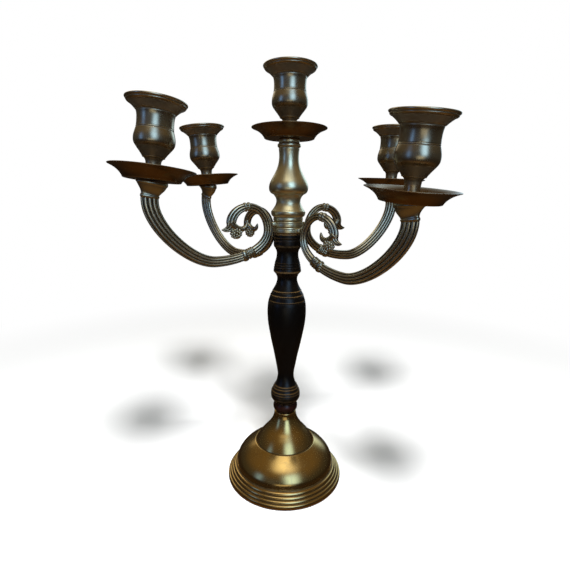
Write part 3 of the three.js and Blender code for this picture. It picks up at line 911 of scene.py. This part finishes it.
def brass(name, rubbed, body, grime, roughness, smear, rubbing, grime_and_shade_amount, cloud, lines,
          cast=0.0, scratches=0.3, coat=0.0):
    """A brass finish under clear varnish. Smears and grime, which is dirt and also painted shade
    in hollows, raise the roughness, and grime is a little less metallic. The relief sums lathe
    lines, hair scratches and a casting's pebbling."""
    material, tree, shader = new_material(name)
    age = use(tree, AGE, Rubbed=rubbed, Body=body, Grime=grime, Rubbing=rubbing,
              Grime_Amount=grime_and_shade_amount, Cloud_Amount=cloud)
    marks = use(tree, HANDLING)
    dulled = mixed(tree, times(tree, marks["Smear"], 0.16), age["Colour"],
                   rgb(0.30, 0.25, 0.19))
    colour = mixed(tree, times(tree, marks["Specks"], 0.3), dulled,
                   rgb(0.07, 0.05, 0.035))
    rough = roughness
    for mask, share in ((marks["Smear"], smear), (age["Grime And Shade Mask"], 0.35),
                        (marks["Specks"], 0.3), (age["Rubbed Mask"], -0.05)):
        rough = plus(tree, rough, times(tree, mask, share), clamp=True)
    metal = minus(tree, 1.0, times(tree, age["Grime And Shade Mask"], 0.12))
    pebbles = noise(tree, position(tree), 1100.0, 4.0, 0.6)
    height = times(tree, use(tree, LATHE)["Height"], lines)
    height = plus(tree, height, use(tree, SCRATCHES, Amount=scratches * -0.5)["Height"])
    height = plus(tree, height, times(tree, pebbles, cast))
    link(tree, {"Base Color": colour, "Roughness": rough, "Metallic": metal,
                "Normal": dented(tree, height, 0.25, 0.0001)}, shader)
    shader.inputs["Coat Weight"].default_value = coat
    shader.inputs["Coat Roughness"].default_value = 0.16
    return material


def lacquer(name, body, worn_gold_and_glint, grime, roughness, wear):
    """Lacquered wood: worn through to its gold leaf on the fine edges, a gold that also stands
    in as painted highlight for glints on those ridges, dulled by dust in the grooves, with the
    brush's long soft streaks in the gloss."""
    material, tree, shader = new_material(name)
    # Wear and painted highlight: the gold on the fine ridges also stands in for the lamp's glints
    # on them.
    age = use(tree, AGE, Rubbed=worn_gold_and_glint, Body=body, Grime=grime, Rubbing=wear, Grime_Amount=0.5,
              Cloud_Amount=0.5, Cloud_Scale=45.0)
    marks = use(tree, HANDLING, Smear_Scale=50.0)
    shade_bands = mixed(tree, times(tree, marks["Specks"], 0.2), age["Colour"],
                  rgb(0.04, 0.034, 0.026))
    rough = plus(tree, times(tree, marks["Smear"], 0.08), roughness)
    rough = plus(tree, rough, times(tree, age["Grime And Shade Mask"], 0.25), clamp=True)
    streaks = stretched(tree, position(tree), (260.0, 260.0, 14.0))
    height = plus(tree, noise(tree, streaks, 1.0, 3.0),
                    times(tree, use(tree, LATHE)["Height"], 0.8))
    link(tree, {"Base Color": shade_bands, "Roughness": rough, "Metallic": age["Rubbed Mask"],
                "Normal": dented(tree, height, 0.12, 0.0002)}, shader)
    shader.inputs["Specular IOR Level"].default_value = 0.3
    shader.inputs["Coat Weight"].default_value = 0.05
    shader.inputs["Coat Roughness"].default_value = 0.2
    return material


def steel(name):
    """Zinc-bright steel: pale on the thread's crests, dark oil in its roots."""
    material, tree, shader = new_material(name)
    age = use(tree, AGE, Rubbed=rgb(0.62, 0.61, 0.58), Body=rgb(0.42, 0.41, 0.39),
              Grime=rgb(0.05, 0.045, 0.04), Rubbing=0.8, Grime_Amount=0.8, Cloud_Amount=0.6,
              Cloud_Scale=140.0)
    marks = use(tree, HANDLING)
    rough = plus(tree, times(tree, marks["Smear"], 0.2), 0.28)
    grain = noise(tree, position(tree), 2200.0, 3.0)
    link(tree, {"Base Color": age["Colour"], "Roughness": rough,
                "Normal": dented(tree, grain, 0.2, 0.00008)}, shader)
    shader.inputs["Metallic"].default_value = 1.0
    return material


def felt(name):
    """Pressed felt: short tangled fibres as noise drawn out in two directions, in two greens."""
    material, tree, shader = new_material(name)
    place = position(tree)
    fibres = None
    for turn, stretch in (((0, 0, 0.5), (2600, 500, 900)), ((0.3, 0, 2.0), (2600, 420, 900))):
        laid = stretched(tree, place, stretch, turn)
        one = noise(tree, laid, 1.0, 3.0, 0.6, 0.8)
        fibres = one if fibres is None else maths(tree, "MAXIMUM", fibres, one)
    wear = noise(tree, place, 60.0, 4.0)
    colour = mixed(tree, eased(tree, fibres, 0.35, 0.8), rgb(0.006, 0.022, 0.014),
                   rgb(0.03, 0.085, 0.05))
    colour = mixed(tree, eased(tree, wear, 0.5, 0.8, 0.0, 0.4), colour, rgb(0.05, 0.075, 0.05))
    link(tree, {"Base Color": colour, "Normal": dented(tree, fibres, 0.6, 0.0004),
                "Roughness": eased(tree, fibres, 0.2, 0.8, 0.82, 0.98)}, shader)
    shader.inputs["Sheen Weight"].default_value = 0.5
    shader.inputs["Sheen Roughness"].default_value = 0.5
    return material


# Grime colour for the brass hollows: dirt there, and painted shade in the bands and grooves
# darkened with it.
GRIME_AND_SHADE = rgb(0.018, 0.011, 0.005)
# Partly painted shade: the large grime amount darkens the incised ring on the shoulder into a dark
# line, besides dirt in the hollows.
GILT = brass("gilt_brass", rgb(0.88, 0.66, 0.32), rgb(0.73, 0.49, 0.17), rgb(0.05, 0.024, 0.008),
             0.19, smear=0.05, rubbing=0.2, grime_and_shade_amount=0.8, cloud=0.15, lines=0.04,
             scratches=0.12, coat=0.3)
CUP_BRASS = brass("cup_brass", rgb(0.72, 0.63, 0.45), rgb(0.55, 0.48, 0.34), GRIME_AND_SHADE,
                  0.25, smear=0.06, rubbing=0.5, grime_and_shade_amount=0.45, cloud=0.2, lines=0.1,
                  coat=0.3)
PAN_BRASS = brass("pan_brass", rgb(0.38, 0.27, 0.15), rgb(0.24, 0.15, 0.07), GRIME_AND_SHADE,
                  0.27, smear=0.08, rubbing=0.6, grime_and_shade_amount=0.35, cloud=0.3, lines=0.1,
                  coat=0.1)
CAST_BRASS = brass("cast_brass", rgb(0.90, 0.85, 0.66), rgb(0.56, 0.52, 0.38), GRIME_AND_SHADE,
                   0.31, smear=0.04, rubbing=0.9, grime_and_shade_amount=1.0, cloud=0.2, lines=0.0,
                   cast=0.05, scratches=0.05)
STEM_BRASS = brass("stem_brass", rgb(0.97, 0.90, 0.62), rgb(0.94, 0.85, 0.56), GRIME_AND_SHADE,
                   0.30, smear=0.05, rubbing=0.5, grime_and_shade_amount=0.55, cloud=0.15, lines=0.08,
                   coat=0.3)
BLACK_LACQUER = lacquer("black_lacquer", rgb(0.0012, 0.0009, 0.0008), rgb(0.34, 0.20, 0.07),
                        rgb(0.003, 0.002, 0.0015), 0.28, wear=0.22)
MAROON_LACQUER = lacquer("maroon_lacquer", rgb(0.009, 0.0018, 0.0012), rgb(0.05, 0.016, 0.008),
                         rgb(0.003, 0.0015, 0.001), 0.24, wear=0.25)
STEEL = steel("bright_steel")
FELT = felt("green_felt")


# ---- the whole candelabra

ARMS = {"front_left": "upper", "back_right": "upper", "front_right": "lower", "back_left": "lower"}


def make_candelabra():
    base_shell(GILT)
    base_felt(FELT)
    column_collar(MAROON_LACQUER)
    column(BLACK_LACQUER)
    upper_stem(STEM_BRASS)
    for level in ("lower", "upper"):
        arm_ring(level, [side for side in ARMS if ARMS[side] == level], STEM_BRASS)
    for side, level in ARMS.items():
        scroll_arm(side, level, CAST_BRASS)
    for side in ("centre", *ARMS):
        drip_pan(side, f"{ARMS[side]}_arms" if side in ARMS else "stand", PAN_BRASS)
        candle_cup(side, CUP_BRASS)
        cup_stud(side, STEEL)
    for node in ("tie_rod", "rod_washer", "rod_nut"):
        for slot in bpy.data.objects[node].material_slots:
            slot.material = STEEL


# ---- floor and light

FLOOR_RADIUS = 6
FLOOR_FADE = (0.36, 0.75)       # from the column, where the floor starts and ends turning white


def make_floor():
    """A round pale floor that fades into the white background."""
    bpy.ops.mesh.primitive_circle_add(vertices=96, radius=FLOOR_RADIUS, fill_type="NGON")
    floor = bpy.context.object
    floor.name = "floor"
    material = bpy.data.materials.new("floor")
    material.use_nodes = True
    tree = material.node_tree
    tree.nodes.remove(tree.nodes["Principled BSDF"])
    distance = put(tree, "ShaderNodeVectorMath", {0: position(tree)}, operation="LENGTH")
    far = eased(tree, distance.outputs["Value"], *FLOOR_FADE)
    plain = put(tree, "ShaderNodeBsdfDiffuse", {"Color": rgb(0.9, 0.9, 0.9)})
    white = put(tree, "ShaderNodeEmission", {"Color": rgb(1, 1, 1), "Strength": 1.0})
    shader = put(tree, "ShaderNodeMixShader", {0: far, 1: plain.outputs[0], 2: white.outputs[0]})
    tree.links.new(shader.outputs[0], tree.nodes["Material Output"].inputs["Surface"])
    floor.data.materials.append(material)
    floor.visible_glossy = False


def aim(azimuth, elevation):
    """Unit axes of a direction given in degrees from the front, positive to the right, and
    upwards: forwards, right and up."""
    a, e = math.radians(azimuth), math.radians(elevation)
    forward = Vector((math.sin(a) * math.cos(e), -math.cos(a) * math.cos(e), math.sin(e)))
    right = Vector((math.cos(a), math.sin(a), 0))
    return forward, right, right.cross(forward)


def soft_box(tree, direction, azimuth, elevation, width, height, blur):
    """Mask of a soft-edged rectangle in the sky, sizes in degrees: the direction's shares along
    the box's right and up axes are divided by its forward share and eased off at the edges."""
    forward, right, up = (put(tree, "ShaderNodeVectorMath", {0: direction, 1: axis},
                              operation="DOT_PRODUCT").outputs["Value"]
                          for axis in aim(azimuth, elevation))
    mask = eased(tree, forward, 0.0, 0.1)
    for share, size in ((right, width), (up, height)):
        edge = math.tan(math.radians(size / 2))
        fade = math.tan(math.radians(blur))
        offset = maths(tree, "ABSOLUTE", maths(tree, "DIVIDE", share, forward))
        mask = times(tree, mask, eased(tree, offset, edge + fade, max(edge - fade, 0)))
    return mask


# azimuth, elevation, width and height in degrees, blur, strength, colour
SOFT_BOXES = [
    (18, 24, 26, 42, 11, 2.2, (0.50, 0.80, 1.20)),      # tall window, front right
    (0, -7, 36, 9, 6, 0.8, (1.00, 0.92, 0.70)),         # lit edge of the table, front
    (2, 70, 34, 28, 16, 1.7, (1.00, 0.97, 0.84)),       # ceiling lamp
    (-58, 12, 11, 26, 8, 1.2, (0.24, 0.46, 1.00)),      # narrow blue window, left
    (-27, 10, 22, 30, 10, 0.10, (0.80, 0.84, 1.00)),    # pale wall, front left
    (152, 26, 22, 44, 9, 1.6, (0.62, 0.84, 1.00)),      # window behind, right
    (-150, 34, 22, 30, 8, 1.3, (1.00, 0.90, 0.70)),     # lamp behind, left
]


def make_world():
    """White behind the object. What the metal mirrors is a dim warm room: a wooden table top,
    dark at the horizon, brownish walls, and the soft boxes."""
    world = bpy.data.worlds.new("room")
    world.use_nodes = True
    bpy.context.scene.world = world
    tree = world.node_tree
    tree.nodes.clear()
    direction = put(tree, "ShaderNodeTexCoord").outputs["Generated"]
    height = put(tree, "ShaderNodeSeparateXYZ", {0: direction}).outputs["Z"]
    table = mixed(tree, eased(tree, height, -0.95, -0.35), rgb(0.14, 0.070, 0.021),
                  rgb(0.026, 0.018, 0.011))
    wall = mixed(tree, eased(tree, height, 0.1, 0.75), rgb(0.050, 0.046, 0.038),
                 rgb(0.150, 0.105, 0.048))
    room = mixed(tree, eased(tree, height, -0.2, 0.06), table, wall)
    for azimuth, elevation, width, tall, blur, strength, colour in SOFT_BOXES:
        mask = soft_box(tree, direction, azimuth, elevation, width, tall, blur)
        glow = [channel * strength for channel in colour]
        room = mixed(tree, mask, room, (*glow, 1.0))
    shown = put(tree, "ShaderNodeLightPath").outputs["Is Camera Ray"]
    seen = mixed(tree, shown, room, rgb(1, 1, 1))
    background = put(tree, "ShaderNodeBackground", {"Color": seen})
    output = put(tree, "ShaderNodeOutputWorld")
    tree.links.new(background.outputs[0], output.inputs["Surface"])


def area_light(name, at, size, power, colour):
    """A square soft light that faces the foot; polished pieces don't mirror it."""
    data = bpy.data.lights.new(name, "AREA")
    data.size = size
    data.energy = power
    data.color = colour
    light = bpy.data.objects.new(name, data)
    place = Vector(at).to_track_quat("Z", "Y").to_matrix().to_4x4()
    place.translation = at
    light.matrix_world = place
    light.visible_glossy = False
    light.visible_camera = False
    bpy.context.scene.collection.objects.link(light)


def make_lights():
    area_light("overhead", (0.03, -0.32, 0.87), 0.15, 12.0, (1, 1, 1))
    area_light("ceiling", (0, 0.2, 2.2), 5.0, 12.0, (0.90, 0.95, 1.0))


make_camera()
make_candelabra()
make_floor()
make_world()
make_lights()
bpy.context.scene.view_settings.view_transform = "Standard"
